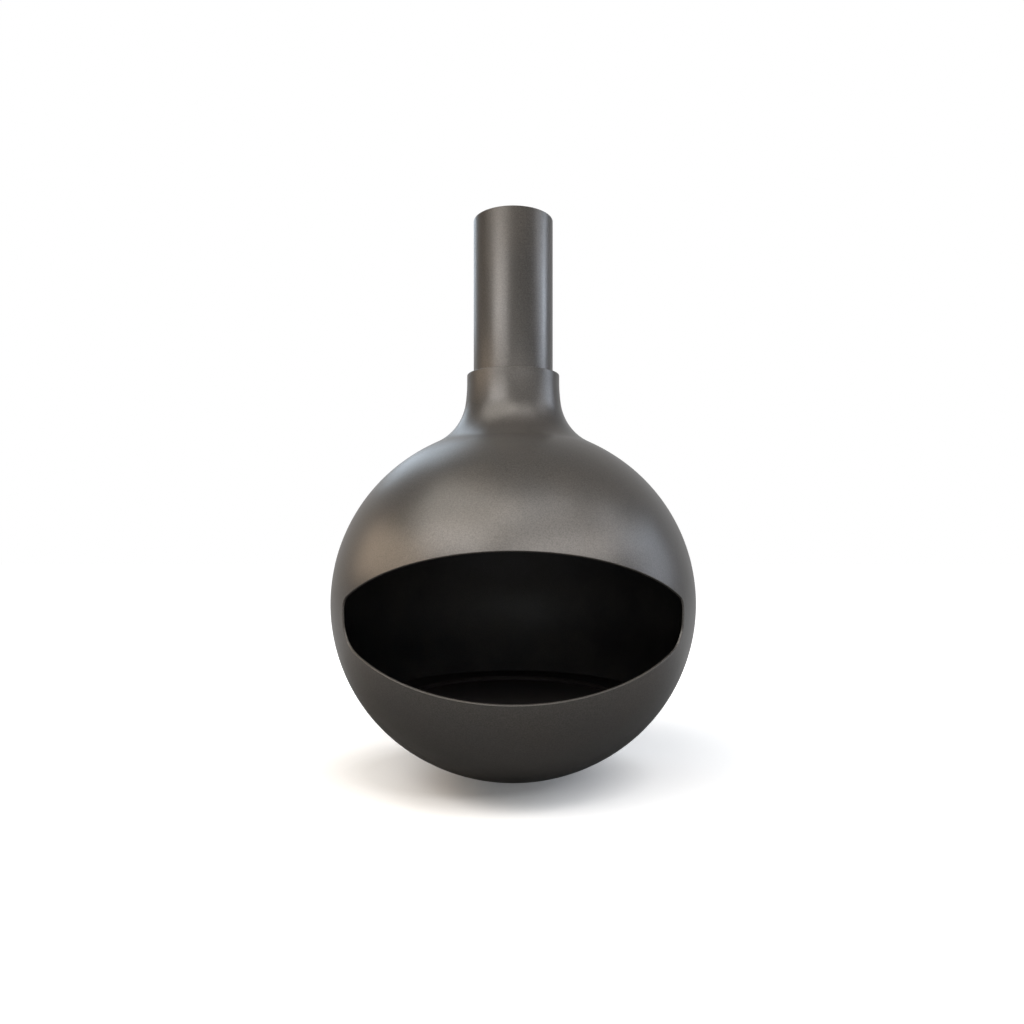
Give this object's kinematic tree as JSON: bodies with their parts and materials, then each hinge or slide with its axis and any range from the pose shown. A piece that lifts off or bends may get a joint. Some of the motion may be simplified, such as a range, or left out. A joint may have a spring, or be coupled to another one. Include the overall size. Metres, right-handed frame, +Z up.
{
  "type": "hanging fireplace",
  "caption": "Round steel hanging fireplace with a wide front mouth, a flared neck that turns on a bearing round its flue, a damper and a lift-out fire pan.",
  "frame": {"origin": "centre of the flue's flat top end", "axes": "+Z up along the flue and the swivel axis, the mouth faces -Y, +X to the right of the mouth"},
  "size_m": [0.9, 0.8778, 1.395],
  "materials": {
    "painted_steel": "satin",
    "liner_steel": "satin",
    "ceramic_wool": "matte",
    "plain_steel": "satin",
    "fastener_steel": "satin",
    "bearing_steel": "polished",
    "cage_brass": "satin",
    "bush_bronze": "satin",
    "hot_steel": "matte",
    "glass_rope": "matte",
    "hearth_steel": "matte",
    "pan_steel": "matte",
    "refractory": "matte",
    "spring_steel": "satin"
  },
  "bodies": {
    "flue": {"flue_pipe": "painted_steel", "coupling_ring": "painted_steel", "flue_liner": "liner_steel", "liner_support": "plain_steel", "liner_insulation": "ceramic_wool", "wool_ring": "plain_steel", "pipe_end_ring": "plain_steel", "hanger_flange": "plain_steel", "hanger_bolts": "fastener_steel", "lower_race": "bearing_steel"},
    "ball_cage": {"ball_cage": "cage_brass", "bearing_balls": "bearing_steel"},
    "globe": {"upper_race": "bearing_steel", "swivel_ring": "plain_steel", "guide_bush": "bush_bronze", "globe_top": "painted_steel", "globe_bottom": "painted_steel", "throat_seat": "plain_steel", "throat": "hot_steel", "throat_screws": "fastener_steel", "seal_rope": "glass_rope", "damper_bushes": "bush_bronze", "hearth_lugs": "plain_steel", "hearth_ring": "hearth_steel", "hearth_screws": "fastener_steel", "pan_ledge": "hearth_steel", "refractory_base": "refractory"},
    "damper": {"damper_plate": "hot_steel", "damper_spindle": "plain_steel", "damper_screws": "fastener_steel", "damper_lever": "hot_steel", "lever_screw": "fastener_steel", "damper_spring": "spring_steel", "spring_collar": "plain_steel", "collar_pin": "fastener_steel"},
    "fire_pan": {"fire_pan": "pan_steel"}
  },
  "joints": [
    {"name": "globe_swivel", "type": "hinge", "parent": "flue", "child": "globe", "pos_m": [0, 0, -0.4], "axis": [0, 0, 1], "continuous": true},
    {"name": "cage_turn", "type": "hinge", "parent": "flue", "child": "ball_cage", "pos_m": [0, 0, -0.4], "axis": [0, 0, 1], "continuous": true},
    {"name": "damper_turn", "type": "hinge", "parent": "globe", "child": "damper", "pos_m": [0, 0, -0.5285], "axis": [-1, 0, 0], "range_deg": [0, 90]},
    {"name": "pan_lift", "type": "slide", "parent": "globe", "child": "fire_pan", "axis": [0, 0, 1], "range_m": [0, 0.12]}
  ],
  "couplings": [
    {"joint": "cage_turn", "follows": "globe_swivel", "ratio": 0.5}
  ]
}
